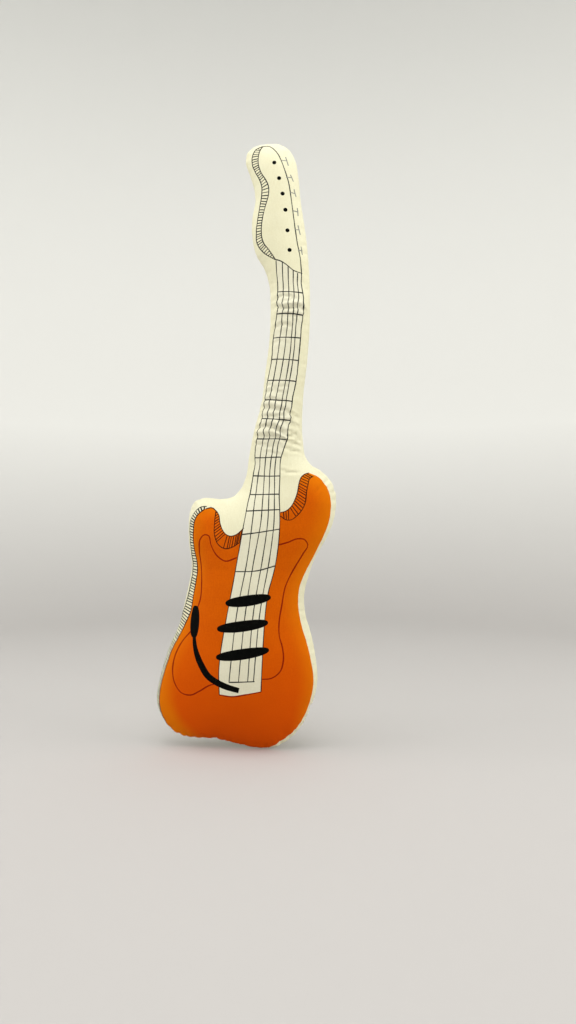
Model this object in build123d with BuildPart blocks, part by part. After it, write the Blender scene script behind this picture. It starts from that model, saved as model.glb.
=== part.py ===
"""Stuffed cotton guitar cushion: a printed front panel and a plain back panel, sewn edge to
edge round a fibre filling that flexes where the neck leaves the body and below the head.

Frame: millimetres, +Z up, front faces -Y, +X to the right of someone who faces the front.
The origin is on the surface it stands on, under the middle of the box that holds it.
"""

import os

from build123d import *

# ---- driving dimensions -------------------------------------------------------------------
CLOTH = 0.8  # thickness of the cotton canvas
FILLING_GAP = 0.35  # room between the cover and the filling
THREAD = 0.6  # thickness of the sewing thread
THREAD_PLAY = 0.1  # from the cover's lining to the thread
NECK_HINGE_Z = 458.0  # the stuffed neck flexes here, just above the body's shoulders
NECK_DOME_RADIUS = 24.5  # rounded lower end of the neck's filling
HEAD_HINGE_Z = 645.0  # the neck flexes again here, just below the head
HEAD_DOME_RADIUS = 22.0  # rounded lower end of the head's filling
DOME_CLEARANCE = 0.8  # room between a dome and the socket that it rolls in
RIM_DROP = 15.0  # how far a socket's rim stays below its hinge, so that the neck can bend
SEAM_GROOVE_DEPTH = 2.2  # how far in the filling makes way for the stitched seam
SEAM_GROOVE_HALF_HEIGHT = 1.2

# Height, left edge, right edge and half thickness of each level; every section is an ellipse.
BODY_LEVELS = (
    (0, 10, 49, 13),
    (12, -72, 62, 22),
    (28, -112, 77, 29),
    (48, -126, 88, 34),
    (71, -131.5, 100, 38),
    (105, -125, 104, 41),
    (150, -110, 99, 43),
    (182, -96, 90, 43),
    (215, -88, 85.5, 43),
    (255, -79, 94, 43),
    (290, -82, 111, 42),
    (318, -84, 123, 40),
    (345, -81, 130, 38),
    (359, -73, 131.5, 35),
    (366, -12, 131, 33),
    (379, -4, 128, 32),
    (394, 1, 118.5, 31),
    (404, 3.5, 105, 30),
    (416, 4.5, 88.5, 29),
    (436, 8, 83.5, 28),
    (458, 12, 83.5, 27),
)
NECK_LEVELS = (
    (504, 24.5, 83.5, 26),
    (562, 32, 90, 25),
    (620, 36, 93.5, 24),
    (660, 36, 93.5, 24),
)
HEAD_LEVELS = (
    (692, 27.5, 92.5, 24),
    (721, 12.5, 90.5, 24),
    (763, 9.5, 83.5, 24),
    (794, 14.5, 79.5, 23),
    (824, 9.5, 77.5, 22),
    (843, 1.5, 74.5, 20),
    (858, 1, 68, 16),
    (867, 8, 60, 11),
    (873.5, 20, 50, 4),
)
LEVELS = BODY_LEVELS + NECK_LEVELS + HEAD_LEVELS
TOP = LEVELS[-1][0]
BLOCK = 600.0  # wider than the cushion, for the blocks that cut it

# Someone closed the opening for the filling by hand, up the lower right edge.
OPENING_Z = (36.0, 74.0)
CLOSING_STITCHES = 8
STITCH_RADIUS = 0.4
STITCH_STAND_OFF = 0.5  # from the seam to a stitch's middle
STITCH_REACH = 2.4  # from the seam into each panel


def half_width_slope(index):
    """How fast the cushion widens with height at a level, between -1 and 1."""
    below = LEVELS[max(index - 1, 0)]
    above = LEVELS[min(index + 1, len(LEVELS) - 1)]
    growth = (above[2] - above[1]) - (below[2] - below[1])
    return max(-1.0, min(1.0, growth / 2 / (above[0] - below[0])))


def stuffed_form(inset):
    """The cushion's whole shape, drawn in by inset along its surface's normal."""
    with BuildPart() as form:
        for index, (z, left, right, half_depth) in enumerate(LEVELS):
            with BuildSketch(Plane.XY.offset(z + inset * half_width_slope(index))):
                with Locations(((left + right) / 2, 0)):
                    Ellipse((right - left) / 2 - inset, half_depth - inset)
        loft(ruled=True)
    return form.part


def right_edge(z):
    """Where the right edge of the cushion is, at height z."""
    for low, high in zip(LEVELS, LEVELS[1:]):
        if low[0] <= z <= high[0]:
            return low[2] + (high[2] - low[2]) * (z - low[0]) / (high[0] - low[0])
    raise ValueError(f"the cushion has no section at height {z}")


def seam_band(half_height, depth):
    """The rim of the cushion beside the seam plane, down to depth inside the surface."""
    with BuildPart() as band:
        with Locations((0, 0, TOP / 2)):
            Box(BLOCK, 2 * half_height, 2 * TOP)
        add(stuffed_form(depth), mode=Mode.SUBTRACT)
    return band.part


def hinge_roll(z, radius):
    """A bar across the whole cushion, round about a hinge's axis."""
    with BuildPart() as bar:
        with BuildSketch(Plane.YZ.offset(-BLOCK / 2)):
            with Locations((0, z)):
                Circle(radius)
        extrude(amount=BLOCK)
    return bar.part


def block_between(low, high):
    """A block across the whole cushion, between two heights."""
    with BuildPart() as block:
        with Locations((0, 0, low)):
            Box(BLOCK, BLOCK, high - low, align=(Align.CENTER, Align.CENTER, Align.MIN))
    return block.part


# ---- cover: two panels of canvas, joined along the seam ----------------------------------------
cushion = stuffed_form(0)
lining = stuffed_form(CLOTH)

with BuildPart() as front_panel:
    add(cushion)
    add(lining, mode=Mode.SUBTRACT)
    split(bisect_by=Plane.XZ, keep=Keep.TOP)

with BuildPart() as back_panel:
    add(cushion)
    add(lining, mode=Mode.SUBTRACT)
    split(bisect_by=Plane.XZ, keep=Keep.BOTTOM)

# ---- seam: a line of machine stitching runs all round, just inside the cover ---------------------
with BuildPart() as seam_thread:
    add(stuffed_form(CLOTH + THREAD_PLAY))
    add(seam_band(THREAD / 2, CLOTH + THREAD_PLAY + THREAD), mode=Mode.INTERSECT)

# ---- hand stitches that close the opening, side by side across the seam -------------------------
with BuildPart() as closing_stitches:
    spacing = (OPENING_Z[1] - OPENING_Z[0]) / (CLOSING_STITCHES - 1)
    for number in range(CLOSING_STITCHES):
        height = OPENING_Z[0] + spacing * number
        with BuildSketch(Plane.XZ.offset(-STITCH_REACH)):
            with Locations((right_edge(height) + STITCH_STAND_OFF, height)):
                Circle(STITCH_RADIUS)
        extrude(amount=2 * STITCH_REACH)

# ---- filling: one mass of fibre, in three lumps that roll on each other where it flexes ----------
with BuildPart() as whole_filling:
    add(stuffed_form(CLOTH + FILLING_GAP))
    add(seam_band(SEAM_GROOVE_HALF_HEIGHT, SEAM_GROOVE_DEPTH), mode=Mode.SUBTRACT)
filling = whole_filling.part

with BuildPart() as body_filling:
    add(filling)
    add(block_between(NECK_HINGE_Z - RIM_DROP, TOP + 1), mode=Mode.SUBTRACT)
    add(hinge_roll(NECK_HINGE_Z, NECK_DOME_RADIUS + DOME_CLEARANCE), mode=Mode.SUBTRACT)

with BuildPart() as neck_filling:
    add(block_between(NECK_HINGE_Z, HEAD_HINGE_Z - RIM_DROP))
    add(hinge_roll(NECK_HINGE_Z, NECK_DOME_RADIUS))
    add(filling, mode=Mode.INTERSECT)
    add(hinge_roll(HEAD_HINGE_Z, HEAD_DOME_RADIUS + DOME_CLEARANCE), mode=Mode.SUBTRACT)

with BuildPart() as head_filling:
    add(block_between(HEAD_HINGE_Z, TOP + 1))
    add(hinge_roll(HEAD_HINGE_Z, HEAD_DOME_RADIUS))
    add(filling, mode=Mode.INTERSECT)

# ---- output ------------------------------------------------------------------------------------
os.makedirs("parts", exist_ok=True)
for label, piece in (
    ("front_panel", front_panel),
    ("back_panel", back_panel),
    ("seam_thread", seam_thread),
    ("closing_stitches", closing_stitches),
    ("body_filling", body_filling),
    ("neck_filling", neck_filling),
    ("head_filling", head_filling),
):
    piece.part.label = label
    export_step(piece.part, f"parts/{label}.step")
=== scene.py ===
"""Looks of the stuffed guitar cushion: printed front, plain back, seam, stitching and filling."""

import math

import bmesh
import bpy
import numpy as np
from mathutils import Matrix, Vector, geometry, kdtree
from mathutils.bvhtree import BVHTree


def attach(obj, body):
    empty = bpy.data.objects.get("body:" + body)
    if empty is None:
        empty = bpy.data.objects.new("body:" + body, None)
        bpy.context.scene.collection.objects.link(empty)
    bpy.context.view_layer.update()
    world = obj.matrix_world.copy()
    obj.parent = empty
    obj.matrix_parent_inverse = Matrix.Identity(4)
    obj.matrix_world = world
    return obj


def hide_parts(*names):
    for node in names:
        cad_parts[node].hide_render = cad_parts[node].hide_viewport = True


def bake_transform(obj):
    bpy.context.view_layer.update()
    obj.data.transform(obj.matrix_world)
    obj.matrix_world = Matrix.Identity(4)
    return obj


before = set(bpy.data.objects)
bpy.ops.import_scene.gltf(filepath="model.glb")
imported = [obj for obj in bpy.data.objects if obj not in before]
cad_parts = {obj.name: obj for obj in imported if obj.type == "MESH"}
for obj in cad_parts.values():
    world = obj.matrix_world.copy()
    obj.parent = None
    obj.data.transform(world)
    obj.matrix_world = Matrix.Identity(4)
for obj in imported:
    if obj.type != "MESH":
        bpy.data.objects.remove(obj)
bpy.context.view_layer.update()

MM = 0.001
RANDOM = np.random.default_rng(7)

# ---- the seam: where the two panels meet, in millimetres across (X) and up (Z) ----
SEAM_POINTS = (
    (28, 0.7), (43, 2.6), (58, 10.5), (75, 26), (86, 43), (94, 62), (101, 80), (104.5, 104),
    (102, 132), (95, 168), (87, 196), (85.5, 224), (90, 245), (102, 278), (117, 304),
    (127, 328), (131.3, 358), (129.5, 375), (120, 391), (108, 402), (95, 410), (87, 422),
    (83.7, 442), (83.7, 504), (90, 561), (93.7, 625), (93, 676), (88.5, 734), (80, 792),
    (77, 824), (72, 849), (62, 865), (50, 872), (32, 873.5), (15, 871), (3, 862),
    (0.5, 850), (7, 828), (13, 808), (14.5, 794), (10, 766), (10, 740), (16, 713),
    (28, 692), (35, 668), (36.5, 640), (35, 591), (28, 535), (24, 502), (13, 461),
    (5, 420), (1, 394), (-8, 374), (-19, 364), (-36, 361), (-60, 362.5), (-75, 357),
    (-81.5, 343), (-84, 320), (-83, 295), (-79, 262), (-83, 238), (-90, 208), (-98, 177),
    (-112, 145), (-122, 115), (-129, 87), (-131.3, 71), (-129, 56), (-122, 40),
    (-110, 25), (-97, 16.5), (-75, 13), (-45, 12), (-22, 8), (0, 3),
)

# How flat the cushion is at each height: 0 gives a round section, more gives a flatter lens.
FLATNESS = (
    (0, 77), (260, 72), (310, 54), (345, 46), (380, 40), (420, 26), (458, 13), (500, 6),
    (640, 6), (740, 17), (874, 12),
)

# The height at which the cover is divided into a lower and an upper half
NECK_CUT_Z = 560  # the cover is one cloth; it is kept as a lower and an upper mesh, cut at a fret


# ---- vectors and curves ----
def unit(vectors):
    """The vectors, one in each row, made 1 long."""
    return vectors / np.linalg.norm(vectors, axis=1)[:, None]


def cross(a, b):
    """Cross product of plane vectors, row by row: positive where b is to the left of a."""
    return a[:, 0] * b[:, 1] - a[:, 1] * b[:, 0]


def bell(value, middle, reach):
    """1 at the middle, and dying away smoothly to both sides."""
    return np.exp(-(((value - middle) / reach) ** 2))


CURVE_PIECES = 24  # from each given point to the next, before the curve is divided evenly


def smooth_curve(points, step, closed=False):
    """Evenly spaced points along a smooth curve through the given ones."""
    knots = np.array(points, float)
    if closed:
        around = np.vstack([knots[-1:], knots, knots[:2]])
    else:
        around = np.vstack([2 * knots[0] - knots[1], knots, 2 * knots[-1] - knots[-2]])
    length = np.linalg.norm(np.diff(around, axis=0), axis=1)[:, None]
    direction = np.diff(around, axis=0) / length
    tangent = (direction[:-1] * length[1:] + direction[1:] * length[:-1]) / (length[:-1] + length[1:])
    t = np.linspace(0, 1, CURVE_PIECES, endpoint=False)[:, None]
    spans = []
    for i in range(len(knots) if closed else len(knots) - 1):
        a, b = around[i + 1], around[i + 2]
        reach = length[i + 1]
        j = (i + 1) % len(tangent)
        spans.append(
            a * (2 * t**3 - 3 * t**2 + 1)
            + b * (3 * t**2 - 2 * t**3)
            + tangent[i] * reach * (t**3 - 2 * t**2 + t)
            + tangent[j] * reach * (t**3 - t**2)
        )
    return evenly(np.vstack(spans if closed else [*spans, knots[-1:]]), step, closed)


def evenly(line, step, closed=False):
    """A line of points divided again at an even step; a closed one also joins its end to its start."""
    fine = np.vstack([line, line[:1]]) if closed else line
    run = np.concatenate([[0], np.cumsum(np.linalg.norm(np.diff(fine, axis=0), axis=1))])
    count = max(2, int(round(run[-1] / step)))
    at = np.linspace(0, run[-1], count + 1)
    if closed:
        at = at[:-1]
    return np.stack([np.interp(at, run, fine[:, k]) for k in range(2)], axis=1)


# ---- the seam's distance field ----
SEAM_STEP = 2.0
BATCH = 4000  # points measured at a time
ON_SEAM = 0.05  # mm; nearer than this, the direction inwards is square to the seam
SEAM = smooth_curve(SEAM_POINTS, SEAM_STEP, closed=True)
SEAM_NEXT = np.roll(SEAM, -1, axis=0)


def seam_distance(points):
    """Of each point: its distance inside the seam, negative outside, the unit direction inwards,
    and how far along the seam it is."""
    points = np.asarray(points, float)
    span = SEAM_NEXT - SEAM
    distance, inward, run = np.empty(len(points)), np.empty((len(points), 2)), np.empty(len(points))
    for first in range(0, len(points), BATCH):
        batch = slice(first, first + BATCH)
        p = points[batch, None, :]
        t = np.clip(((p - SEAM) * span).sum(2) / (span**2).sum(1), 0, 1)[:, :, None]
        away = p - (SEAM + t * span)
        gap = np.linalg.norm(away, axis=2)
        best = gap.argmin(1)
        rows = np.arange(len(best))
        crosses = (SEAM[:, 1] > p[:, :, 1]) != (SEAM_NEXT[:, 1] > p[:, :, 1])
        rise = np.where(span[:, 1] == 0, 1e-9, span[:, 1])
        to_right = p[:, :, 0] < SEAM[:, 0] + span[:, 0] * (p[:, :, 1] - SEAM[:, 1]) / rise
        inside = (crosses & to_right).sum(1) % 2 == 1
        normal = unit(np.stack([-span[best, 1], span[best, 0]], axis=1))
        nearest = gap[rows, best]
        steady = nearest > ON_SEAM
        signed = np.where(inside, 1.0, -1.0)
        normal[steady] = (away[rows, best][steady] / nearest[steady, None]) * signed[steady, None]
        distance[batch] = nearest * signed
        inward[batch] = normal
        run[batch] = (best + t[rows, best, 0]) * SEAM_STEP
    return distance, inward, run


# ---- how far the cushion puffs out ----
CELL = 3.0  # mm, of the grid the membrane is solved on
GRID_LOW = SEAM.min(0) - 2 * CELL
ROUNDS = 5000  # in which each cell comes nearer to its neighbours' mean
RIM = 9.0  # mm; nearer the seam than this, the membrane's height is worked out from its slope


def solve_membrane():
    """Height of an evenly blown membrane held along the seam."""
    counts = np.ceil((SEAM.max(0) + 2 * CELL - GRID_LOW) / CELL).astype(int) + 1
    xs, zs = (GRID_LOW[k] + CELL * np.arange(counts[k]) for k in range(2))
    cells = np.stack(np.meshgrid(xs, zs, indexing="ij"), axis=2).reshape(-1, 2)
    inside = (seam_distance(cells)[0] > 0).reshape(counts)[1:-1, 1:-1]
    height = np.zeros(counts)
    for _ in range(ROUNDS):
        around = height[:-2, 1:-1] + height[2:, 1:-1] + height[1:-1, :-2] + height[1:-1, 2:]
        height[1:-1, 1:-1] = np.where(inside, (around + CELL**2) / 4, 0)
    return height


MEMBRANE = solve_membrane()


def membrane_at(points):
    """The membrane's height between the grid's cells."""
    at = (points - GRID_LOW) / CELL
    low = np.clip(np.floor(at).astype(int), 0, np.array(MEMBRANE.shape) - 2)
    share = at - low
    i, j = low.T
    a, b = share.T
    return (
        MEMBRANE[i, j] * (1 - a) * (1 - b)
        + MEMBRANE[i + 1, j] * a * (1 - b)
        + MEMBRANE[i, j + 1] * (1 - a) * b
        + MEMBRANE[i + 1, j + 1] * a * b
    )


def puff(points):
    """Half thickness of the stuffed cushion at each point."""
    distance, inward, _ = seam_distance(points)
    at_rim = membrane_at(points + inward * (RIM - distance)[:, None])
    slope = at_rim / RIM + RIM / 2
    near = slope * distance - distance**2 / 2
    height = np.where(distance < RIM, near, membrane_at(points))
    flat = np.interp(points[:, 1], *zip(*FLATNESS))
    return np.sqrt(flat**2 + 2 * np.maximum(height, 0)) - flat


# ---- the two panels as one closed cloth, for the simulation ----
CLOTH_STEP = 5.0  # mm between the simulated cloth's points
RINGS = (0.8, 3.0, 6.5)  # mm inside the seam, closer where the cloth turns over
RING_PLAY = 0.15, 0.05  # how far a point may be off its ring: a share of the ring's distance, plus mm


def triangulate(points, outline, shapes=(), cuts=()):
    """Points and triangles inside the outline, divided along the shapes and cuts, and for each
    triangle the loops round it: 0 is the outline, and the shapes count from 1."""
    loops = [list(outline), *shapes]
    made = geometry.delaunay_2d_cdt([Vector(p) for p in points], list(cuts), loops, 1, 1e-5, True)
    inside = [(corners, holders) for corners, holders in zip(made[2], made[5]) if 0 in holders]
    return (
        np.array([tuple(v) for v in made[0]]),
        [corners for corners, _ in inside],
        [holders for _, holders in inside],
    )


def rim_points(step, rings):
    """Points along the seam, and along lines inside it."""
    seam = evenly(SEAM, step, closed=True)
    inner = []
    for ring in rings:
        moved = seam + seam_distance(seam)[1] * ring
        off = np.abs(seam_distance(moved)[0] - ring)
        inner.append(moved[off < RING_PLAY[0] * ring + RING_PLAY[1]])
    return seam, np.vstack(inner)


def filling_points(step, clear_of_seam):
    """Points in a triangular grid, away from the seam."""
    low, high = SEAM.min(0), SEAM.max(0)
    rows = np.arange(low[1], high[1], step * math.sqrt(3) / 2)
    columns = np.arange(low[0], high[0], step)
    grid = np.array([(x + step / 2 * (k % 2), z) for k, z in enumerate(rows) for x in columns])
    return grid[seam_distance(grid)[0] > clear_of_seam]


def signed_area(flat, corners):
    """Twice each triangle's area, negative where its corners run clockwise."""
    a, b, c = (flat[corners[:, k]] for k in range(3))
    return cross(b - a, c - a)


def two_sided(flat, triangles, border):
    """Front and back panels that share the border's points: puffed positions, and each panel's faces."""
    depth = puff(flat)
    depth[:border] = 0
    front = np.column_stack([flat[:, 0], -depth, flat[:, 1]])
    back = front[border:] * (1, -1, 1)
    corners = np.array(triangles)
    clockwise = signed_area(flat, corners) < 0
    corners[clockwise] = corners[clockwise][:, (0, 2, 1)]
    behind = np.where(corners < border, corners, corners + len(flat) - border)[:, (0, 2, 1)]
    return np.vstack([front, back]), corners.tolist(), behind.tolist()


def build_cloth():
    """Points and triangles of one panel in the seam's plane, and how many of the points are on the seam."""
    seam, inner = rim_points(CLOTH_STEP, RINGS)
    grid = filling_points(CLOTH_STEP, RINGS[-1] + 3)
    points = np.vstack([seam, inner, grid])
    border = len(seam)
    flat, triangles, _ = triangulate(points, range(border))
    assert len(flat) == len(points), "no two points of the cloth fall together"
    return flat, triangles, border


FLAT, TRIANGLES, BORDER = build_cloth()
PUFFED, FRONT_FACES, BACK_FACES = two_sided(FLAT, TRIANGLES, BORDER)

# ---- blowing the cover up: a cloth simulation of the two panels ----
FRAMES = 30
DRAWN_IN = 14  # frame by which the seam has come in to its place
PRESSURE = 25.0
CLOTH_MASS = 0.02  # kg at each point
BENDING = 0.3
SLACK = 0.008  # how much longer the cloth is than the smooth form
FLAT_SHARE = 0.24  # how far the cloth's own lengths go from the smooth form's to the flat cut's
LARGEST_MOVE = 6.0  # mm, from the smooth form
LARGEST_DIP = 2.5  # mm, into the filling
STEADY_RIM = 9.0  # mm from the seam within which the cloth moves less and less
EVENINGS = 2  # times that each point's move is averaged with its neighbours'
# Extra cloth along the neck, which gathers in creases: height, half length of the stretch, extra mm
GATHERS = ((462, 36, 6), (636, 22, 4))


def cut_flat(points):
    """Where each point lay in the flat cut: puffing draws the seam inwards."""
    distance, inward, _ = seam_distance(points)
    levels = np.arange(SEAM[:, 1].min() + 1, SEAM[:, 1].max() - 1, 4.0)
    widths = []
    for z in levels:
        crosses = (SEAM[:, 1] > z) != (SEAM_NEXT[:, 1] > z)
        x = SEAM[crosses, 0]
        widths.append((x.max() - x.min()) / 2)
    half = np.interp(points[:, 1], levels, widths)
    radius = np.hypot(half, np.interp(points[:, 1], *zip(*FLATNESS)))
    across = np.maximum(half - distance, 0)
    return points - inward * (radius * np.arcsin(across / radius) - across)[:, None]


def cloth_lengths():
    """The shape whose lengths the cloth keeps: part smooth form, part flat cut, with slack and gathers."""
    pattern = cut_flat(FLAT)
    flat = np.column_stack([pattern[:, 0], np.zeros(len(pattern)), pattern[:, 1]])
    flat = np.vstack([flat, flat[BORDER:]])
    shape = PUFFED * (1 - FLAT_SHARE) + flat * FLAT_SHARE
    shape *= 1 + SLACK
    for height, reach, extra in GATHERS:
        along = np.clip((shape[:, 2] - height * (1 + SLACK)) / reach / 2 + 0.5, 0, 1)
        shape[:, 2] += extra * along
    return shape


def add_object(name, data):
    """A new object in the scene."""
    made = bpy.data.objects.new(name, data)
    bpy.context.scene.collection.objects.link(made)
    return made


def blow_up():
    """The cloth's points in mm, once the seam has drawn in and the filling has pressed the panels out."""
    lengths = cloth_lengths() * MM
    mesh = bpy.data.meshes.new("cover_cloth")
    mesh.from_pydata(lengths.tolist(), [], FRONT_FACES + BACK_FACES)
    cover = add_object("cover_cloth", mesh)
    held = cover.vertex_groups.new(name="seam")
    held.add(list(range(BORDER)), 1.0, "REPLACE")
    cover.shape_key_add(name="Basis")
    puffed = cover.shape_key_add(name="puffed")
    puffed.data.foreach_set("co", (PUFFED * MM).ravel())
    for value, number in ((0, 1), (1, DRAWN_IN)):
        puffed.value = value
        puffed.keyframe_insert("value", frame=number)
    cloth = cover.modifiers.new("Cloth", "CLOTH")
    cloth.point_cache.frame_start, cloth.point_cache.frame_end = 1, FRAMES
    settings = cloth.settings
    settings.quality = 6
    settings.mass = CLOTH_MASS
    settings.air_damping = 3
    settings.use_pressure = True
    settings.uniform_pressure_force = PRESSURE
    settings.effector_weights.gravity = 0
    settings.vertex_group_mass = "seam"
    settings.bending_stiffness = BENDING
    for number in range(1, FRAMES + 1):
        bpy.context.scene.frame_set(number)
    result = cover.evaluated_get(bpy.context.evaluated_depsgraph_get()).to_mesh()
    blown = np.empty(len(result.vertices) * 3)
    result.vertices.foreach_get("co", blown)
    bpy.data.objects.remove(cover)
    bpy.data.meshes.remove(mesh)
    for action in list(bpy.data.actions):
        bpy.data.actions.remove(action)
    bpy.context.scene.frame_set(1)
    move = blown.reshape(-1, 3) / MM - PUFFED
    size = np.linalg.norm(move, axis=1)[:, None]
    move *= np.minimum(1, LARGEST_MOVE / np.maximum(size, 1e-9))
    sunk = PUFFED[:, 1] * move[:, 1] < 0
    move[sunk, 1] = np.clip(move[sunk, 1], -LARGEST_DIP, LARGEST_DIP)
    inside = np.concatenate([seam_distance(FLAT)[0], seam_distance(FLAT[BORDER:])[0]])
    move *= np.clip(inside / STEADY_RIM, 0, 1)[:, None]
    return PUFFED + evened(move)


def evened(move):
    """The moves, each averaged with its neighbours' so that no crumple is smaller than the real cloth's."""
    faces = np.array(FRONT_FACES + BACK_FACES)
    pairs = np.vstack([faces[:, (0, 1)], faces[:, (1, 2)], faces[:, (2, 0)]])
    for _ in range(EVENINGS):
        total, count = np.zeros_like(move), np.zeros(len(move))
        for a, b in (pairs.T, pairs.T[::-1]):
            np.add.at(total, a, move[b])
            np.add.at(count, a, 1)
        move = (move + total / count[:, None]) / 2
        move[:BORDER] = 0
    return move


BLOWN = blow_up()

# ---- the finished surface: the blown cover, its turned edge, puckers and creases ----
SHEET_TREE = BVHTree.FromPolygons([(x, 0, z) for x, z in FLAT], TRIANGLES)
SHEET_CORNERS = np.array(TRIANGLES)
FRONT, BACK = -1, 1  # which way each panel faces along Y
ROUNDING = 0.7  # how much of the way the surface is rounded between the cloth's points

CREASE_DEPTH, CREASE_WIDTH = 1.35, 0.68  # times the depths and half widths below
CREASE_END = 4.0  # mm over which a crease dies away past its ends
CREASE_RIM = 8.0  # mm from the seam within which creases get shallower
# Ridges beside a crease: how far off and how wide, in its half widths, and their share of its depth
RIDGES = ((2.1, 1.3, 0.75), (-2.2, 1.5, 0.4))
BACK_CREASES, BACK_SHARE = 11, 0.8  # how many of the front's creases the back has, and how deep
# Creases pressed into the front: points along the fold, depth and half width in mm
CREASES = (
    (((48, 633), (57, 630), (68, 631), (78, 633), (85, 629)), 2.6, 3.4),
    (((44, 605), (56, 608), (68, 606)), 1.1, 3.5),
    (((33, 512), (44, 514), (55, 511)), 0.9, 3.2),
    (((27, 491), (40, 489), (54, 485), (67, 483)), 1.7, 4.0),
    (((25, 475), (48, 477), (66, 479)), 1.2, 3.4),
    (((19, 462), (36, 464), (54, 457), (64, 451)), 2.4, 3.8),
    (((17, 451), (36, 450), (56, 446)), 1.4, 3.2),
    (((65, 481), (74, 478), (84, 473)), 1.3, 2.8),
    (((64, 466), (74, 465), (84, 461)), 1.3, 2.6),
    (((64, 457), (74, 452), (83, 443)), 1.5, 2.8),
    (((62, 443), (72, 440), (83, 434)), 1.3, 2.6),
    (((61, 432), (72, 429), (83, 426)), 1.0, 2.6),
    (((57, 400), (68, 397), (78, 398)), 0.9, 3.0),
    (((46, 645), (58, 648), (70, 644)), 0.9, 3.0),
    (((60, 622), (72, 620), (84, 622)), 0.9, 3.0),
    (((40, 582), (52, 584), (62, 581)), 0.5, 3.0),
    (((34, 522), (50, 519), (66, 521)), 0.6, 3.0),
    (((31, 500), (42, 501), (52, 498)), 1.0, 2.8),
    (((50, 473), (58, 470), (66, 471)), 1.3, 2.6),
    (((22, 469), (30, 470), (38, 470)), 1.2, 2.6),
    (((40, 452), (50, 450), (60, 444)), 1.2, 2.8),
    (((16, 440), (26, 439), (38, 436)), 0.8, 3.0),
    (((36, 428), (48, 425), (58, 421)), 0.6, 3.0),
    (((66, 472), (75, 472), (85, 468)), 1.0, 2.2),
    (((66, 450), (75, 447), (83, 439)), 1.0, 2.2),
    (((118, 388), (110, 377), (103, 370)), 0.8, 3.2),
)


def vertex_normals(points, corners):
    """Unit normal at each point, from the faces round it."""
    a, b, c = (points[corners[:, k]] for k in range(3))
    face = np.cross(b - a, c - a)
    normals = np.zeros_like(points)
    for k in range(3):
        np.add.at(normals, corners[:, k], face)
    return unit(normals)


def sheet_of(side):
    """One panel of the blown cover: its points and outward normals, in the order of FLAT."""
    rows = np.arange(len(FLAT))
    if side == BACK:
        rows[BORDER:] += len(FLAT) - BORDER
    points = BLOWN[rows]
    normals = vertex_normals(points, SHEET_CORNERS)
    turn = np.sign((normals[:, 1] * side).sum())
    return points, normals * turn


SHEETS = {side: sheet_of(side) for side in (FRONT, BACK)}


def on_sheet(flat, side):
    """Positions and normals on the blown panel, rounded between the cloth's points."""
    points, normals = SHEETS[side]
    found = [SHEET_TREE.find_nearest((x, 0, z)) for x, z in flat]
    at = np.array([(hit[0][0], hit[0][2]) for hit in found])
    corners = SHEET_CORNERS[[hit[2] for hit in found]]
    a, b, c = (FLAT[corners[:, k]] for k in range(3))
    ab, ac, ap = b - a, c - a, at - a
    s, t = cross(ap, ac) / cross(ab, ac), cross(ab, ap) / cross(ab, ac)
    shares = np.stack([1 - s - t, s, t], axis=1)[:, :, None]
    corner_points, corner_normals = points[corners], normals[corners]
    position = (corner_points * shares).sum(1)
    normal = (corner_normals * shares).sum(1)
    rise = ((position[:, None] - corner_points) * corner_normals).sum(2, keepdims=True)
    rounded = ((position[:, None] - rise * corner_normals) * shares).sum(1)
    position = position * (1 - ROUNDING) + rounded * ROUNDING
    return position, unit(normal)


def crease_relief(flat, creases):
    """How far the creases push the surface, in mm: each is a valley with a softer ridge on both sides."""
    relief = np.zeros(len(flat))
    for line, depth, width in creases:
        depth, width = CREASE_DEPTH * depth, CREASE_WIDTH * width
        path = smooth_curve(line, 1.5)
        step = np.linalg.norm(flat[:, None] - path[None, ::4], axis=2).min(1)
        near = np.flatnonzero(step < 5 * width + 4)
        if not len(near):
            continue
        away = flat[near, None] - path[None]
        gap = np.linalg.norm(away, axis=2)
        best = gap.argmin(1)
        offset = away[np.arange(len(near)), best]
        heading = unit(np.gradient(path, axis=0))[best]
        across = cross(heading, offset)
        past = (offset * heading).sum(1)
        along = best / (len(path) - 1)
        fade = np.sin(np.pi * (0.12 + 0.76 * along)) ** 0.7 * bell(past, 0, CREASE_END)
        profile = -bell(across, 0, width)
        for place, spread, share in RIDGES:
            profile += share * bell(across / width, place, spread)
        relief[near] += depth * fade * profile
    return relief


# Sharper pinches in the seam: where, how far in, and half length along the seam, in mm
PINCHES = (
    (129.5, 375, 2.4, 2.6), (-97, 16.5, 1.6, 3), (-45, 12, 1.5, 4), (-4, 4, 1.2, 3), (94, 62, 1.3, 3),
)
LIP = 0.55, 2.4, 1.5  # mm: the seam allowance's ridge, how high, how far in and how wide
FOLD = 1.5, 3.2  # mm: the puckers beside the seam, how deep and how far in
DRAW = 0.95, 4.0  # mm: how far the puckers draw the seam in, and how far in that is felt
NORMAL_REACH = 0.7  # mm to each side, between which a normal is measured
NORMAL_RIM = 1.1  # mm; nearer the seam than this, a normal is measured further in


def pinched(flat, distance):
    """How far the pinches draw the seam in, in mm."""
    drawn = np.zeros(len(flat))
    for x, z, depth, width in PINCHES:
        gap = np.linalg.norm(flat - (x, z), axis=1)
        drawn += depth * bell(gap, 0, width + 0.5 * distance) * np.exp(-distance / 6)
    return drawn


def pucker(run, z):
    """How strongly the seam's stitches draw the cloth in, from 0 to 1, along the seam."""
    wave = 0.5 + 0.5 * np.sin(run / 2.05 + 1.4 * np.sin(run / 9.7) + 0.9 * np.sin(run / 23))
    lively = 0.35 + 0.65 * bell(z, 8, 55) + 0.25 * bell(z, 375, 30)
    return np.minimum(lively, 1) * wave**2 * (0.7 + 0.3 * np.sin(run / 31 + 1))


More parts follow.
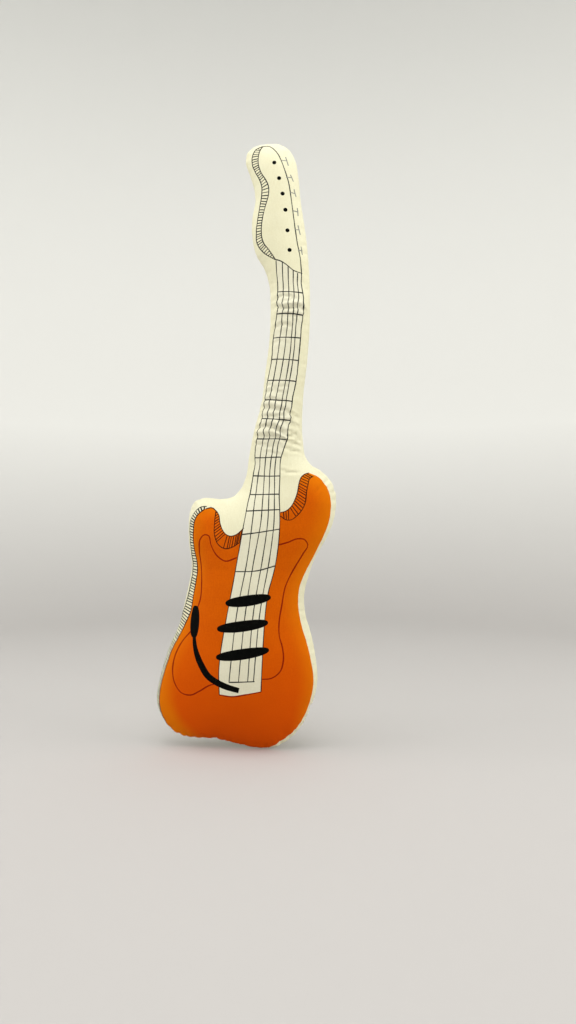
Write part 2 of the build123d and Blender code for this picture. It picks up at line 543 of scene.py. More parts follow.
def surface(flat, side):
    """Finished positions of points of a panel, in millimetres."""
    position, normal = on_sheet(flat, side)
    distance, inward, run = seam_distance(flat)
    distance = np.maximum(distance, 0)
    draw = pucker(run, flat[:, 1])
    height, place, width = LIP
    relief = height * bell(distance, place, width) * np.minimum(distance, 1)
    depth, place = FOLD
    relief -= depth * draw * (distance / place) * np.exp(1 - distance / place)
    creases = CREASES if side == FRONT else CREASES[:BACK_CREASES]
    share = 1 if side == FRONT else BACK_SHARE
    relief += share * crease_relief(flat, creases) * np.clip(distance / CREASE_RIM, 0, 1)
    moved = position + normal * relief[:, None]
    drawn = DRAW[0] * draw * np.exp(-distance / DRAW[1]) + pinched(flat, distance)
    moved[:, (0, 2)] += inward * drawn[:, None]
    return moved


def surface_normals(flat, side):
    """Normals of the finished panel, from points a little to each side."""
    distance, inward, _ = seam_distance(flat)
    middle = flat + inward * np.maximum(0, NORMAL_RIM - distance)[:, None]
    east, west = (surface(middle + (x, 0), side) for x in (NORMAL_REACH, -NORMAL_REACH))
    north, south = (surface(middle + (0, z), side) for z in (NORMAL_REACH, -NORMAL_REACH))
    normals = np.cross(east - west, north - south)
    normals /= np.maximum(np.linalg.norm(normals, axis=1), 1e-9)[:, None]
    return normals * np.sign(normals[:, 1:2] * side + 1e-9)


# ---- the print ----
# The finishes, in the order of the panel's material slots
CREAM, ORANGE, BOARD, LINE, GREY, BROWN, UMBER, BLACK = range(8)
LINE_WIDTH = 1.6  # mm
FINE_WIDTH = 1.35
GUARD_WIDTH = 1.8
PRINT_STEP = 3.5  # mm between the points of a printed line
# Where the neck's gathers make printed lines waver: height, half length, and the wave's size and length
WAVERS = ((463, 26, 1.1, 3.9), (633, 12, 0.8, 3.1))

ORANGE_LEFT = (
    (-57, 344.5), (-64, 338.5), (-69, 329), (-71.5, 314), (-72, 290), (-70, 273), (-69, 261),
    (-71, 245), (-74, 228), (-80, 195), (-88, 177), (-96, 160), (-105, 142), (-111, 124),
    (-115.5, 107), (-120.5, 89), (-123, 72), (-122.5, 56), (-118, 40), (-109, 25), (-99, 13),
)
ORANGE_FOOT = ((-92, 10), (-60, 2), (-20, -8), (18, -10), (31, 0))
ORANGE_RIGHT = (
    (44, 7), (57, 17), (68, 27.5), (78, 40), (86, 55), (91.5, 70), (95, 86), (96.5, 106), (93.5, 129),
    (89, 154), (82, 180), (77.5, 213), (80, 237), (87, 255), (99, 280), (110.5, 307), (118.5, 331),
    (121, 354), (120.5, 366), (117, 376.5), (111.5, 384.5), (106, 391), (98, 395), (93, 397),
)
RIGHT_HORN = (
    (93, 397), (87, 395), (82, 390), (79, 381), (77, 369), (73, 358), (68, 349), (61, 343), (54, 341),
)
RIGHT_HORN_SHADE = (
    (99, 392), (94, 389), (92, 382), (90, 373), (86, 352), (82, 344), (76, 337), (68, 331),
    (61, 331), (54, 336),
)
LEFT_HORN = (
    (-56, 344.5), (-48, 346), (-41.5, 342.5), (-36, 337), (-33, 326), (-29, 317), (-23, 310),
    (-17, 307.5), (-7, 310), (-1, 315), (3, 319),
)
LEFT_HORN_SHADE = (
    (-41, 341), (-41, 328), (-39.5, 309), (-34, 296), (-25, 290.5), (-13, 292.5), (-4, 298), (-1, 300),
)
LEFT_EDGE = (
    (-55, 347.5), (-62.5, 347), (-70, 342.5), (-76, 332.5), (-79, 322), (-79, 302), (-78, 284),
    (-76, 266), (-77, 254), (-80, 237), (-85, 216), (-92, 196), (-99, 179), (-108, 158),
    (-115, 139), (-120, 121), (-125, 104), (-129.5, 88), (-131, 72), (-129.5, 57), (-125, 44), (-119, 34),
)
BOARD_LEFT = (
    (47, 699), (48, 656), (47, 623), (42, 590), (41, 559), (36, 529), (32, 501), (27, 473),
    (20, 447), (16, 421), (14, 394), (10, 367), (6, 343), (-9, 258), (-23, 184), (-28, 155),
    (-32, 119), (-32, 86),
)
BOARD_FOOT = ((-32, 86), (-15, 84), (5, 87), (26.5, 91))
BOARD_RIGHT = (
    (26.5, 91), (28, 120), (30, 156), (36.3, 223), (46.5, 266), (52.5, 317), (53, 344), (52, 367),
    (53, 393), (55, 419), (62, 440), (67, 471), (70, 497), (75, 527), (78, 557), (81, 588),
    (84, 622), (83, 652), (82, 681),
)
STRINGS = (
    ((56, 696), (56, 653), (51, 578), (36, 480), (22, 401), (15, 327), (8.5, 277), (-6, 202), (-17.6, 105)),
    ((64, 690), (64, 652), (60, 578), (44, 479), (31, 401), (27, 327), (18, 278), (6, 203), (-4.3, 105)),
    ((71, 685), (71, 653), (68, 577), (53, 479), (39, 401), (36.5, 327), (29.5, 278), (17, 203), (8.5, 106)),
    ((77, 681), (77, 653), (73, 578), (59, 479), (46, 401), (45, 327), (39, 278), (26, 203), (16.5, 106)),
)
FRETS = (
    ((48, 654), (83, 652)), ((47, 623), (84, 622)), ((42, 590), (81, 589)), ((41, 559), (78, 557)),
    ((36, 529), (75, 527)), ((32, 501), (70, 497)), ((27, 474), (67, 471)), ((20, 447), (62, 445)),
    ((16, 421), (55, 420)), ((14, 394), (53, 393)), ((10, 367), (52, 367)), ((6, 343), (53, 345)),
    ((1, 310), (14, 311.5), (52.5, 318)), ((-9, 258.5), (22, 260), (46, 266.5)),
)
BRIDGE = ((-18, 104.5), (18, 106))
PICKUPS = (((-23, 214), (41, 223)), ((-35, 178), (37, 188)), ((-36, 138.5), (38, 150)))
PICKUP_HALF = 7.6
GUARD_LEFT = (
    (-6.5, 278), (-24, 273), (-37, 281), (-45, 295), (-49, 309), (-54, 310), (-61, 304),
    (-64, 289), (-63, 265), (-62, 241), (-63, 218), (-67, 205),
)
GUARD_FOOT = (
    (-73, 175), (-88, 157), (-99, 132), (-101, 114), (-98, 97), (-88, 84), (-75, 82),
    (-61, 89), (-45, 99), (-34, 102),
)
GUARD_RIGHT = (
    (51, 296), (64, 300), (76, 305), (86, 304), (90, 297), (84, 284), (71, 260), (61, 237),
    (56, 211), (52, 187), (52, 170), (56, 152), (57, 134), (52, 118), (41, 110), (27, 109),
)
ARM = ((-71, 170), (-68, 150), (-57, 125), (-48, 112), (-36, 104), (-22, 98), (-4, 93))
ARM_WIDTHS = (5, 6.6, 9.2, 9.8, 9.4, 8.8, 7.6)
ARM_HANDLE = ((-70.5, 185.5), 22.5, 7.4)  # middle, half length and half width
HEAD_RIGHT = (
    (26, 867), (35, 866), (44, 858), (49, 851), (54, 840), (59, 826), (64, 809), (67, 791),
    (70, 769), (73, 746), (76, 725), (80, 703), (82, 681),
)
HEAD_EDGE = (
    (26, 867), (17, 863), (12, 853), (12, 841), (16, 830), (23, 816), (26, 807), (26, 793),
    (23, 776), (20, 758), (18, 743), (19, 728), (27, 715), (36, 707), (45, 701),
)
HEAD_SHADE = (
    (27, 867), (23, 860), (21, 851), (21, 839), (25, 826), (32, 814), (36, 804), (36, 792),
    (32, 778), (28, 763), (26, 749), (26, 736), (29, 726), (36, 716), (46, 701),
)
NUT = ((45, 701), (53, 698), (62, 692), (72, 684), (83, 681))
PEGS = ((44, 838), (51, 815), (56, 793), (60, 770), (63, 741), (66, 713))
PEG_RADIUS = 2.9
STEMS = (
    ((54, 842), (61, 842)), ((60, 817), (67, 818)), ((66, 796), (73, 796)),
    ((70, 770), (77, 770)), ((73, 743), (79, 744)), ((77, 714), (83, 714)),
)
BARS = (
    ((59, 848), (63, 835)), ((66, 822), (70, 813)), ((71, 802), (74, 792)),
    ((76, 776), (77, 764)), ((77, 750), (80, 737)), ((81, 720), (83, 708)),
)

INK = []  # each printed shape: its finish and its outline; later ones lie on top


def ribbon(path, widths):
    """Outline of a stroke along a path."""
    heading = unit(np.gradient(path, axis=0))
    sideways = np.column_stack([-heading[:, 1], heading[:, 0]]) * np.reshape(widths, (-1, 1)) / 2
    return np.vstack([path + sideways, (path - sideways)[::-1]])


def circle(count):
    """Points of a circle of radius 1."""
    turn = np.linspace(0, 2 * np.pi, count, endpoint=False)
    return np.column_stack([np.cos(turn), np.sin(turn)])


def straight(points, step):
    """Points along the straight line from one point to another."""
    a, b = np.array(points, float)
    count = max(2, int(np.linalg.norm(b - a) / step) + 1)
    return a + (b - a) * np.linspace(0, 1, count)[:, None]


def gathered(path):
    """The printed lines waver where the neck's cloth is gathered."""
    path = path.copy()
    for height, reach, size, length in WAVERS:
        z = path[:, 1]
        path[:, 0] += size * np.sin(z / length) * bell(z, height, reach)
    return path


def stroke(points, width=LINE_WIDTH, finish=LINE):
    """One printed line, of slightly uneven width."""
    path = smooth_curve(points, PRINT_STEP) if len(points) > 2 else straight(points, PRINT_STEP)
    path = gathered(path)
    run = np.arange(len(path)) * PRINT_STEP
    uneven = 1 + 0.12 * np.sin(run / 11 + path[0, 0]) + 0.08 * np.sin(run / 4.3)
    INK.append((finish, ribbon(path, width * uneven)))


def hatching(edge, shade, pitch, lean, width=FINE_WIDTH, finish=LINE, even=0.0):
    """Short strokes from one line across to another; lean moves each stroke's far end along, in mm.
    even is how far the far ends are spread evenly, rather than lying straight across."""
    edge, shade = smooth_curve(edge, 0.5), smooth_curve(shade, 0.5)
    count = int(len(edge) / 2 / pitch)
    for k in range(1, count):
        share = (k + RANDOM.uniform(-0.12, 0.12)) / count
        a = edge[int(np.clip(share, 0, 1) * (len(edge) - 1))]
        across = np.linalg.norm(shade - a, axis=1).argmin()
        across += even * (share * (len(shade) - 1) - across)
        b = shade[int(np.clip(across + lean * 2, 0, len(shade) - 1))]
        reach = RANDOM.uniform(0.93, 1.0)
        ends = a, a + (b - a) * reach
        INK.append((finish, ribbon(straight(ends, 3.0), width * RANDOM.uniform(0.8, 1.15))))


def area(finish, *lines):
    """A printed area, bounded by smooth lines one after another."""
    INK.append((finish, np.vstack([smooth_curve(line, PRINT_STEP) for line in lines])))


def blob(a, b, half, fullness):
    """A long black blob between two points, with blunter ends the smaller its fullness number is."""
    a, b = np.array(a, float), np.array(b, float)
    along, across = circle(48).T
    across = np.sign(across) * np.abs(across) ** fullness
    long = (b - a) / 2
    side = np.array([-long[1], long[0]]) / np.linalg.norm(long) * half
    INK.append((BLACK, (a + b) / 2 + along[:, None] * long + across[:, None] * side))


def draw_print():
    """The guitar's print, from the areas at the bottom to the black parts on top."""
    area(ORANGE, ORANGE_LEFT, ORANGE_FOOT, ORANGE_RIGHT, RIGHT_HORN, LEFT_HORN[::-1])
    area(BOARD, BOARD_LEFT, BOARD_FOOT[1:-1], BOARD_RIGHT, NUT[::-1][1:-1])
    for line in (ORANGE_LEFT, RIGHT_HORN, LEFT_HORN, RIGHT_HORN_SHADE, LEFT_HORN_SHADE):
        stroke(line, FINE_WIDTH, UMBER)
    stroke(LEFT_EDGE, FINE_WIDTH * 0.8)
    hatching(RIGHT_HORN, RIGHT_HORN_SHADE, 3.7, -3.0, finish=UMBER, even=0.65)
    hatching(LEFT_HORN[2:], LEFT_HORN_SHADE, 3.4, 0.0, finish=UMBER, even=0.65)
    hatching(LEFT_EDGE, ORANGE_LEFT, 3.9, 1.0, width=1.6)
    for line in (GUARD_LEFT, GUARD_FOOT, GUARD_RIGHT, BOARD_FOOT):
        stroke(line, GUARD_WIDTH, BROWN)
    for line in (BOARD_LEFT, BOARD_RIGHT, *STRINGS):
        stroke(line, FINE_WIDTH)
    for line in (*FRETS, BRIDGE):
        stroke(line)
    hatching(HEAD_EDGE, HEAD_SHADE, 3.8, 0.0)
    for line in (HEAD_RIGHT, HEAD_EDGE, HEAD_SHADE, NUT):
        stroke(line, FINE_WIDTH)
    for line in STEMS + BARS:
        stroke(line, FINE_WIDTH, GREY)
    for a, b in PICKUPS:
        blob(a, b, PICKUP_HALF, 0.8)
    centre, half_length, half_width = ARM_HANDLE
    reach = np.array((0.5, half_length))
    blob(centre - reach, centre + reach, half_width, 0.65)
    path = smooth_curve(ARM, 3.0)
    widths = np.interp(np.linspace(0, 1, len(path)), np.linspace(0, 1, len(ARM)), ARM_WIDTHS)
    INK.append((BLACK, ribbon(path, widths)))
    for peg in PEGS:
        INK.append((BLACK, peg + PEG_RADIUS * circle(14)))


draw_print()

# ---- panel meshes ----
PANEL_STEP = 4.0
PANEL_RINGS = (0.9, 2.0, 3.4, 5.4)
LEAST_AGREEMENT = 0.5  # a measured normal that agrees less with the faces round it gives way to theirs
PRINT_GAP = 1.5  # mm between the panel's other points and its print or its cut
CUT_X = np.arange(20, 101, PANEL_STEP)  # reaches past the seam on both sides
SEAM_LOOP, RING_POINTS = rim_points(PANEL_STEP, PANEL_RINGS)


def panel_layout(shapes):
    """The panel in triangles, divided along its print and its cut, with the finish of each triangle."""
    grid = np.vstack([RING_POINTS, filling_points(PANEL_STEP, PANEL_RINGS[-1] + 2)])
    if shapes:
        drawn = np.vstack([outline for _, outline in shapes])
        tree = kdtree.KDTree(len(drawn))
        for k, (x, z) in enumerate(drawn):
            tree.insert((x, z, 0), k)
        tree.balance()
        grid = grid[[tree.find((x, z, 0))[2] > PRINT_GAP for x, z in grid]]
    loops, first = [list(range(len(SEAM_LOOP)))], len(SEAM_LOOP)
    points = [SEAM_LOOP]
    for _, outline in shapes:
        loops.append(list(range(first, first + len(outline))))
        first += len(outline)
        turn = cross(outline, np.roll(outline, -1, axis=0)).sum()
        points.append(outline if turn > 0 else outline[::-1])
    points.append(grid[np.abs(grid[:, 1] - NECK_CUT_Z) > PRINT_GAP])
    points.append(np.column_stack([CUT_X, np.full(len(CUT_X), NECK_CUT_Z)]))
    points = np.vstack(points)
    cut = [(k - 1, k) for k in range(len(points) - len(CUT_X) + 1, len(points))]
    flat, triangles, holders = triangulate(points, loops[0], loops[1:], cut)
    finishes = []
    for held in holders:
        finish, under = CREAM, CREAM
        for k in sorted(held)[1:]:
            finish = shapes[k - 1][0]
            under = finish if finish in (ORANGE, BOARD) else under
        if finish == LINE and under == ORANGE:
            finish = UMBER  # a black line shows brown on the orange
        finishes.append(finish)
    return flat, triangles, finishes


def add_mesh(name, points, faces, materials, finishes=None):
    """A smooth piece from points in millimetres."""
    mesh = bpy.data.meshes.new(name)
    mesh.from_pydata((np.asarray(points) * MM).tolist(), [], [tuple(int(v) for v in f) for f in faces])
    mesh.validate()
    for material in materials:
        mesh.materials.append(material)
    mesh.polygons.foreach_set("use_smooth", [True] * len(mesh.polygons))
    if finishes is not None:
        mesh.polygons.foreach_set("material_index", finishes)
    return add_object(name, mesh)


def add_cloth_map(mesh, flat):
    """UV in metres on the cloth, so that the weave stays with the cloth as it bends."""
    layer = mesh.uv_layers.new(name="cloth")
    corner = np.empty(len(mesh.loops), int)
    mesh.loops.foreach_get("vertex_index", corner)
    layer.data.foreach_set("uv", ((flat[corner] + (150, 20)) * MM).ravel())


def dye_depth(flat):
    """Depth in mm from the seam, which sets the orange's painted rim light: greater at the foot, which keeps
    the painted shade there, and smaller on the horns and in the lower left corner, where the painted light
    reaches further in."""
    x, z = flat.T
    # painted light and shade: the foot keeps the darker orange, the horns and the lower left corner get more
    # of the lighter one
    foot = 34 * np.exp(-((x / 82) ** 4)) * bell(z, 0, 60)
    corner = 16 * bell(x, -112, 36) * bell(z, 42, 44)
    horns = np.clip((z - 290) / 9, 0, 9)
    return seam_distance(flat)[0] + foot - corner - horns


def add_panel(name, side, layout, materials):
    """The lower and upper mesh of one panel."""
    flat, triangles, finishes = layout
    position, normals = surface(flat, side), surface_normals(flat, side)
    corners = np.array(triangles)
    wrong = signed_area(flat, corners) * side > 0
    corners[wrong] = corners[wrong][:, ::-1]
    own = vertex_normals(position, corners)
    stray = (normals * own).sum(1) < LEAST_AGREEMENT
    normals[stray] = own[stray]
    middle = flat[corners].mean(1)[:, 1]
    finishes = np.array(finishes)
    pieces = []
    for part, chosen in (("lower", middle < NECK_CUT_Z), ("upper", middle >= NECK_CUT_Z)):
        used, faces = np.unique(corners[chosen], return_inverse=True)
        faces = faces.reshape(-1, 3)
        piece = add_mesh(f"{name}_{part}", position[used], faces, materials, finishes[chosen].tolist())
        add_cloth_map(piece.data, flat[used])
        # the painted rim light's depth from the seam, in metres, read by the orange's material
        depth = piece.data.attributes.new("dye_depth", "FLOAT", "POINT")
        depth.data.foreach_set("value", dye_depth(flat[used]) * MM)
        piece.data.normals_split_custom_set_from_vertices(normals[used].tolist())
        pieces.append(piece)
    return pieces


def bend_with_body(piece):
    """A piece of the cover or filling, with its placement baked into its mesh."""
    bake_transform(piece)


# ---- materials ----
class Nodes:
    """Short names for making a material's nodes."""

    def __init__(self, name, **settings):
        self.material = bpy.data.materials.new(name)
        self.material.use_nodes = True
        self.tree = self.material.node_tree
        self.shader = self.tree.nodes["Principled BSDF"]
        for key, value in settings.items():
            self.shader.inputs[key.replace("_", " ")].default_value = value

    def add(self, kind, inputs=None, **settings):
        node = self.tree.nodes.new(kind)
        for key, value in settings.items():
            setattr(node, key, value)
        for key, value in (inputs or {}).items():
            if isinstance(value, bpy.types.NodeSocket):
                self.tree.links.new(value, node.inputs[key])
            else:
                node.inputs[key].default_value = value
        return node

    def math(self, operation, *values):
        return self.add("ShaderNodeMath", dict(enumerate(values)), operation=operation).outputs[0]

    def noise(self, place, scale, detail, roughness=0.5):
        inputs = {"Vector": place, "Scale": scale, "Detail": detail, "Roughness": roughness}
        return self.add("ShaderNodeTexNoise", inputs).outputs

    def ramp(self, value, low, high, **more):
        """The value, from low to high, spread over 0 to 1 or over the limits given."""
        inputs = {"Value": value, "From Min": low, "From Max": high}
        smooth = "SMOOTHSTEP" if more else "LINEAR"
        inputs.update(more)
        return self.add("ShaderNodeMapRange", inputs, interpolation_type=smooth).outputs[0]

    def mix(self, share, first, second, kind="RGBA"):
        inputs = {"Factor": share, "A": first, "B": second}
        return self.add("ShaderNodeMix", inputs, data_type=kind).outputs["Result"]

    def finish(self, colour, height=None, strength=0.0, distance=0.0):
        """The material with this colour, and with bump where a height is given."""
        self.tree.links.new(colour, self.shader.inputs["Base Color"])
        if height is not None:
            inputs = {"Height": height, "Strength": strength, "Distance": distance}
            bump = self.add("ShaderNodeBump", inputs)
            self.tree.links.new(bump.outputs[0], self.shader.inputs["Normal"])
        return self.material


def rgba(red, green, blue):
    """A screen colour, each part from 0 to 255, as the shader's linear one."""
    shares = (part / 255 for part in (red, green, blue))
    return (*(c / 12.92 if c <= 0.04045 else ((c + 0.055) / 1.055) ** 2.4 for c in shares), 1.0)


THREADS_PER_METRE = 1150  # of the plain weave, each way
PAINTED_FOOT_SHADE_HEIGHTS = 0.04, 0.26  # heights on the cloth between which the painted shade at the orange's foot fades out, in metres
PAINTED_RIM_LIGHT_DEPTHS = 0.0, 0.034  # depths from the seam between which the painted rim light on the orange fades out, in metres


def printed_cotton(name, light, dark, weave=0.6, sheen=0.12, foot=None, edge=None):
    """Plain-woven cotton: two crossing waves of threads, slubs along them, and slow patches of shade.
    The orange has two more colours: a painted shade at its foot, and a painted rim light near the seam, on
    the horns and in the lower left corner."""
    n = Nodes(name, Roughness=0.85, Sheen_Weight=sheen, Sheen_Roughness=0.6, Specular_IOR_Level=0.04)
    place = n.add("ShaderNodeUVMap", uv_map="cloth").outputs["UV"]
    axes = n.add("ShaderNodeSeparateXYZ", {0: place}).outputs
    turn = THREADS_PER_METRE * math.pi
    crossed = n.math("MULTIPLY", *(n.math("SINE", n.math("MULTIPLY", axes[k], turn)) for k in (0, 1)))
    stretched = n.add("ShaderNodeMapping", {"Vector": place, "Scale": (900, 90, 1)}).outputs[0]
    slubs = n.noise(stretched, 1.0, 3.0)["Fac"]
    patches = n.noise(place, 28.0, 4.0, 0.6)["Fac"]
    grain = n.noise(place, 420.0, 2.0)["Fac"]
    share = n.ramp(n.math("ADD", n.math("ADD", patches, slubs), grain), 1.05, 1.95)
    tone = n.mix(share, rgba(*dark), rgba(*light))
    if foot:
        depth = n.add("ShaderNodeAttribute", attribute_name="dye_depth").outputs["Fac"]
        # painted shade: the orange turns darker and redder towards the foot
        tone = n.mix(n.ramp(axes[1], *PAINTED_FOOT_SHADE_HEIGHTS, **{"To Min": 0.8, "To Max": 0.0}), tone, rgba(*foot))
        # painted rim light: the orange turns lighter and yellower near the seam, on the horns and in the
        # lower left corner
        tone = n.mix(n.ramp(depth, *PAINTED_RIM_LIGHT_DEPTHS, **{"To Min": 0.85, "To Max": 0.0}), tone, rgba(*edge))
    height = n.math("ADD", n.math("MULTIPLY", crossed, 0.5), n.math("ADD", slubs, grain))
    return n.finish(tone, height, weave, 0.00012)


def thread_material():
    """Cotton thread, with the fine unevenness of its twist."""
    n = Nodes("thread", Roughness=0.75, Sheen_Weight=0.2, Specular_IOR_Level=0.3)
    twist = n.noise(n.add("ShaderNodeTexCoord").outputs["Generated"], 900.0, 2.0)["Fac"]
    return n.finish(n.mix(twist, rgba(225, 218, 190), rgba(248, 243, 222)), twist, 0.5, 0.0001)


def fibre_material():
    """White polyester fibre: fine tangled strands."""
    n = Nodes("fibre_filling", Roughness=0.95, Sheen_Weight=0.3, Specular_IOR_Level=0.2)
    place = n.add("ShaderNodeTexCoord").outputs["Object"]
    stray = n.mix(0.25, place, n.noise(place, 60.0, 3.0)["Color"], "VECTOR")
    strands = n.noise(stray, 260.0, 5.0)["Fac"]
    return n.finish(n.mix(strands, rgba(214, 214, 210), rgba(250, 250, 248)), strands, 0.8, 0.0015)


PRINT = [
    printed_cotton("cotton_cream", (230, 227, 197), (221, 216, 182)),
    # the orange's last two colours are painted light and shade: a darker one for its foot and a lighter one
    # near the seam
    printed_cotton("ink_orange", (210, 95, 0), (195, 81, 0), 0.5, 0.005, (211, 77, 0), (217, 116, 2)),
    printed_cotton("cotton_fretboard", (229, 226, 202), (219, 215, 189)),
]
for name, light, dark in (
    ("ink_line", (52, 54, 52), (36, 38, 38)),
    ("ink_grey", (146, 148, 138), (126, 128, 120)),
    ("ink_brown", (146, 34, 2), (122, 24, 2)),
    ("ink_umber", (84, 36, 10), (62, 24, 8)),
    ("ink_black", (7, 8, 6), (3, 4, 3)),
):
    PRINT.append(printed_cotton(name, light, dark, 0.45, 0.01))
PLAIN = [printed_cotton("cotton_plain", (233, 229, 201), (222, 216, 186))]
THREAD = [thread_material()]
FIBRE = [fibre_material()]

# ---- the cover ----
for name, side, layout, materials, slot in (
    ("front_panel", FRONT, panel_layout(INK), PRINT, "printed_canvas"),
    ("back_panel", BACK, panel_layout([]), PLAIN, "plain_canvas"),
):
    for part, piece in zip(("lower", "upper"), add_panel(name, side, layout, materials)):
        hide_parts(name)
        bend_with_body(piece)

# ---- the filling: two lumps of fibre under the cover ----
FILLING_INSET = 5.0  # mm from the seam to the filling's edge
FILLING_STEP = 8.0
FILLING_EDGE_STEP = 6.0
FILLING_GAP = 4  # mm from the filling's edge to the points inside it
FILLING_DEPTH = 3.2, 0.8  # mm under the cover, and half of how much more that is in a hollow
THINNEST = 0.4  # mm that each side keeps from the seam's plane


def filling_outline(low, high):
    """The seam moved inwards, between two heights."""
    moved = SEAM + seam_distance(SEAM)[1] * FILLING_INSET
    moved = moved[np.abs(seam_distance(moved)[0] - FILLING_INSET) < 0.4]
    moved = evenly(moved, FILLING_EDGE_STEP, closed=True)
    inside = (moved[:, 1] > low) & (moved[:, 1] < high)
    start = int(np.argmax(inside & ~np.roll(inside, 1)))
    return np.roll(moved, -start, axis=0)[np.roll(inside, -start)]


def lump(points, side):
    """Position of the filling's surface, with soft lumps in it."""
    x, z = points.T
    wave = np.sin(x / 9 + side) * np.sin(z / 11 + 0.6 * np.sin(x / 17))
    wave += 0.5 * np.sin(z / 6.1 - x / 7.3 + side)
    depth = FILLING_DEPTH[0] + FILLING_DEPTH[1] * (1 + wave / 1.5)
    inner = surface(points, side) - surface_normals(points, side) * depth[:, None]
    inner[:, 1] = side * np.maximum(side * inner[:, 1], THINNEST)
    return inner


def add_filling(name, low, high):
    """A closed lump of fibre between two heights."""
    outline = filling_outline(low, high)
    grid = filling_points(FILLING_STEP, FILLING_INSET + FILLING_GAP)
    grid = grid[(grid[:, 1] > low + FILLING_GAP) & (grid[:, 1] < high - FILLING_GAP)]
    count = len(outline)
    flat, triangles, _ = triangulate(np.vstack([outline, grid]), range(count))
    corners = np.array(triangles)
    clockwise = signed_area(flat, corners) < 0
    corners[clockwise] = corners[clockwise][:, ::-1]
    size = len(flat)
    faces = corners.tolist() + (corners[:, ::-1] + size).tolist()
    faces += [(k, k + size, (k + 1) % count + size, (k + 1) % count) for k in range(count)]
    piece = add_mesh(name, np.vstack([lump(flat, FRONT), lump(flat, BACK)]), faces, FIBRE)
    shape = bmesh.new()
    shape.from_mesh(piece.data)
    bmesh.ops.recalc_face_normals(shape, faces=shape.faces)
    shape.to_mesh(piece.data)
    shape.free()
    return piece


for name, part, low, high, nodes in (
    ("filling_lower", "lower", 0, NECK_CUT_Z, ("body_filling", "neck_filling")),
    ("filling_upper", "upper", NECK_CUT_Z, 900, ("neck_filling", "head_filling")),
):
    piece = add_filling(name, low, high)
    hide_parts(*nodes)
    bend_with_body(piece)

# ---- stitching ----
STITCH = 3.0  # mm from one stitch of the seam to the next
STITCH_POINTS = 6
THREAD_RADIUS = 0.3
OPENING = 36, 74  # heights between which the lower right edge was closed by hand
CLOSING_STITCHES = 8
CLOSING_RADIUS = 0.42
CLOSING_REACH = 2.9  # mm from the seam into each panel
CLOSING_SLANT = 2.0  # mm along the seam, from a stitch's middle to each end
EDGE_STEP = 0.5


def tube(path, radius, sides=6):
    """Points and faces of a round thread along a path, drawn in to its two ends."""
    path = np.asarray(path, float)
    heading = unit(np.gradient(path, axis=0))
    up = np.where(np.abs(heading[:, 1:2]) > 0.8, (1.0, 0, 0), (0, 1.0, 0))
    one = unit(np.cross(heading, up))
    two = np.cross(heading, one)
    share = np.linspace(-1, 1, len(path))
    thick = radius * np.clip((1 - share**6), 0.35, 1)[:, None]
    points, faces = [], []
    for k in range(sides):
        turn = 2 * math.pi * k / sides
        points.append(path + thick * (one * math.cos(turn) + two * math.sin(turn)))
    points = np.stack(points, axis=1).reshape(-1, 3)
    for row in range(len(path) - 1):
        for k in range(sides):
            a, b = row * sides + k, row * sides + (k + 1) % sides
            faces.append((a, b, b + sides, a + sides))
    last = (len(path) - 1) * sides
    faces.append(tuple(range(sides))[::-1])
    faces.append(tuple(range(last, last + sides)))
    return points, faces


def add_threads(name, paths, radius):
    """Many short threads as one piece."""
    points, faces, first = [], [], 0
    for path in paths:
        own, around = tube(path, radius)
        points.append(own)
        faces += [tuple(v + first for v in face) for face in around]
        first += len(own)
    return add_mesh(name, np.vstack(points), faces, THREAD)


def seam_stitches():
    """Each stitch of the seam, dipping into the cloth at its two ends."""
    fine = evenly(SEAM, STITCH / STITCH_POINTS, closed=True)
    edge = surface(fine, FRONT)
    inward = seam_distance(fine)[1]
    sink = 0.25 + 0.75 * np.linspace(-1, 1, STITCH_POINTS) ** 2
    paths = []
    for first in range(0, len(fine) - STITCH_POINTS, STITCH_POINTS):
        rows = np.arange(first, first + STITCH_POINTS)
        path = edge[rows]
        path[:, (0, 2)] += inward[rows] * sink[:, None]
        path[:, 1] = np.linspace(-0.12, 0.12, STITCH_POINTS)
        paths.append(path)
    return paths


def closing_stitches():
    """Hand-sewn stitches that wrap over the edge where the opening was closed."""
    fine = evenly(SEAM, EDGE_STEP, closed=True)
    low, high = OPENING
    opening = np.flatnonzero((fine[:, 0] > 60) & (fine[:, 1] > low) & (fine[:, 1] < high))
    paths = []
    for k in np.linspace(opening[0], opening[-1], CLOSING_STITCHES).astype(int):
        path = []
        for share in np.linspace(-1, 1, 11):
            at = fine[k + int(round(CLOSING_SLANT / EDGE_STEP * share))]
            flat = at + seam_distance([at])[1] * CLOSING_REACH * abs(share)
            side = FRONT if share < 0 else BACK
            out = surface_normals(flat, side)[0] * (0.15 + 0.5 * (1 - abs(share)))
            path.append(surface(flat, side)[0] + out * (1, abs(share), 1))
        paths.append(path)
    return paths


STITCHES = seam_stitches()
for part, chosen in (
    ("lower", [path for path in STITCHES if path[2][2] < NECK_CUT_Z]),
    ("upper", [path for path in STITCHES if path[2][2] >= NECK_CUT_Z]),
):
    piece = add_threads(f"seam_stitches_{part}", chosen, THREAD_RADIUS)
    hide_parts("seam_thread")
    bend_with_body(piece)

piece = add_threads("hand_stitches", closing_stitches(), CLOSING_RADIUS)
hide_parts("closing_stitches")
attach(piece, "body")

# ---- camera ----
CAMERA_PLACE = (0.16034, -1.06128, 0.342)
CAMERA_TURN = math.radians(5.3)  # to the left of straight ahead
CAMERA_LENS = 25.98  # mm, before a 36 mm sensor
camera = add_object("camera", bpy.data.cameras.new("camera"))
camera.data.lens = CAMERA_LENS
camera.data.sensor_width = 36
camera.location = CAMERA_PLACE
camera.rotation_euler = (math.radians(90), 0, CAMERA_TURN)
bpy.context.scene.camera = camera

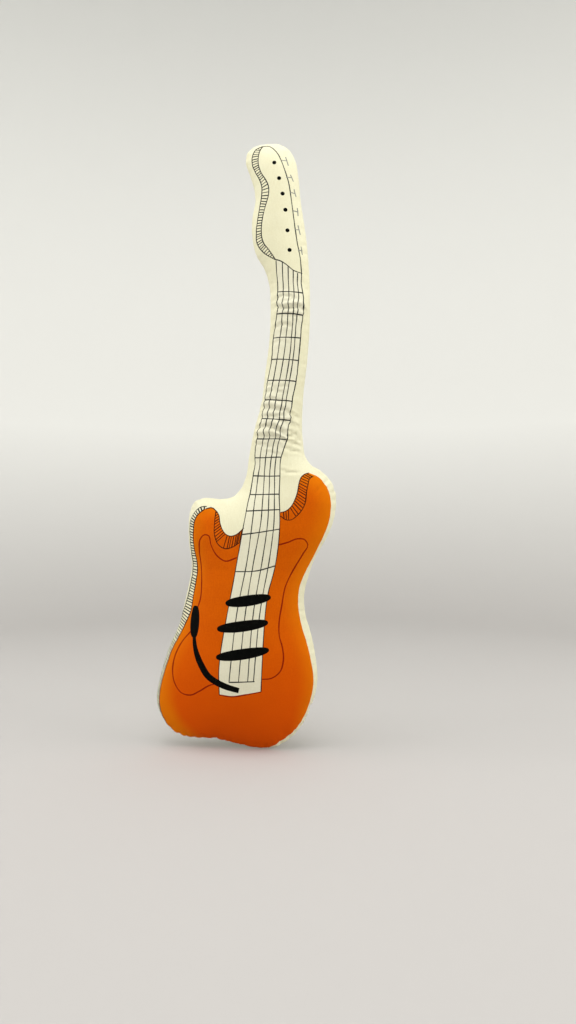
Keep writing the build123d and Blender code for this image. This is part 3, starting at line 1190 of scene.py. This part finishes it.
# ---- floor, backdrop and light ----
FLOOR_RADIUS, SWEEP, WALL_TOP = 1.3, 0.9, 3.4  # metres; the sweep is the curve from floor to wall
SWEEP_STEPS, WALL_SIDES = 12, 72
FLOOR_DROP = 0.0005  # metres, so that the cushion's foot is just clear of the floor
PAINTED_WALL_LIGHT_HEIGHT = 0.7  # height in metres at which the painted light up the wall is as pale as it gets
LIGHTS = (  # name, place, aim, size and power
    ("top", (0.0, -0.4, 2.2), (0, 0, 0.6), (1.5, 1.3), 22.4),
    ("left", (-1.6, -0.45, 1.1), (0, 0, 0.42), (1.0, 1.3), 10.3),
    ("right", (1.6, -0.35, 1.1), (0, 0, 0.42), (1.0, 1.3), 10.8),
    ("front", (0.3, -1.85, 1.6), (0, 0, 0.7), (1.0, 1.0), 6),
)
WORLD_STRENGTH = 0.5


def add_backdrop():
    """A pale round floor that sweeps up into a wall on every side, painted greyer on the floor and paler up
    the wall as painted light.
    """
    profile = [(0.0, 0.0), (FLOOR_RADIUS, 0.0)]
    for k in range(1, SWEEP_STEPS + 1):
        turn = math.pi / 2 * k / SWEEP_STEPS
        profile.append((FLOOR_RADIUS + SWEEP * math.sin(turn), SWEEP * (1 - math.cos(turn))))
    profile.append((FLOOR_RADIUS + SWEEP, WALL_TOP))
    points = [(0, 0, 0)]
    for k in range(WALL_SIDES):
        turn = 2 * math.pi * k / WALL_SIDES
        points += [(r * math.cos(turn), r * math.sin(turn), z) for r, z in profile[1:]]
    rows = len(profile) - 1
    faces = []
    for k in range(WALL_SIDES):
        a, b = 1 + k * rows, 1 + (k + 1) % WALL_SIDES * rows
        faces.append((0, a, b))
        faces += [(a + j, a + j + 1, b + j + 1, b + j) for j in range(rows - 1)]
    n = Nodes("studio_floor", Roughness=0.9, Specular_IOR_Level=0.1)
    place = n.add("ShaderNodeTexCoord").outputs["Object"]
    # painted light: the backdrop's colour goes from grey on the floor to near white up the wall
    rise = n.ramp(n.add("ShaderNodeSeparateXYZ", {0: place}).outputs["Z"], 0.0, PAINTED_WALL_LIGHT_HEIGHT)
    material = n.finish(n.mix(rise, rgba(190, 187, 184), rgba(243, 243, 239)))
    backdrop = add_mesh("backdrop", np.array(points) / MM, faces, [material])
    backdrop.location.z = -FLOOR_DROP


def add_light(name, place, aim, size, power):
    light = bpy.data.lights.new(name, "AREA")
    light.shape = "RECTANGLE"
    light.size, light.size_y = size
    light.energy = power
    lamp = add_object(name, light)
    lamp.location = place
    lamp.rotation_euler = (Vector(aim) - Vector(place)).to_track_quat("-Z", "Y").to_euler()


add_backdrop()
for light in LIGHTS:
    add_light(*light)
world = bpy.data.worlds.new("studio")
bpy.context.scene.world = world
world.use_nodes = True
world.node_tree.nodes["Background"].inputs["Color"].default_value = (1, 1, 1, 1)
world.node_tree.nodes["Background"].inputs["Strength"].default_value = WORLD_STRENGTH
bpy.context.scene.view_settings.view_transform = "Standard"
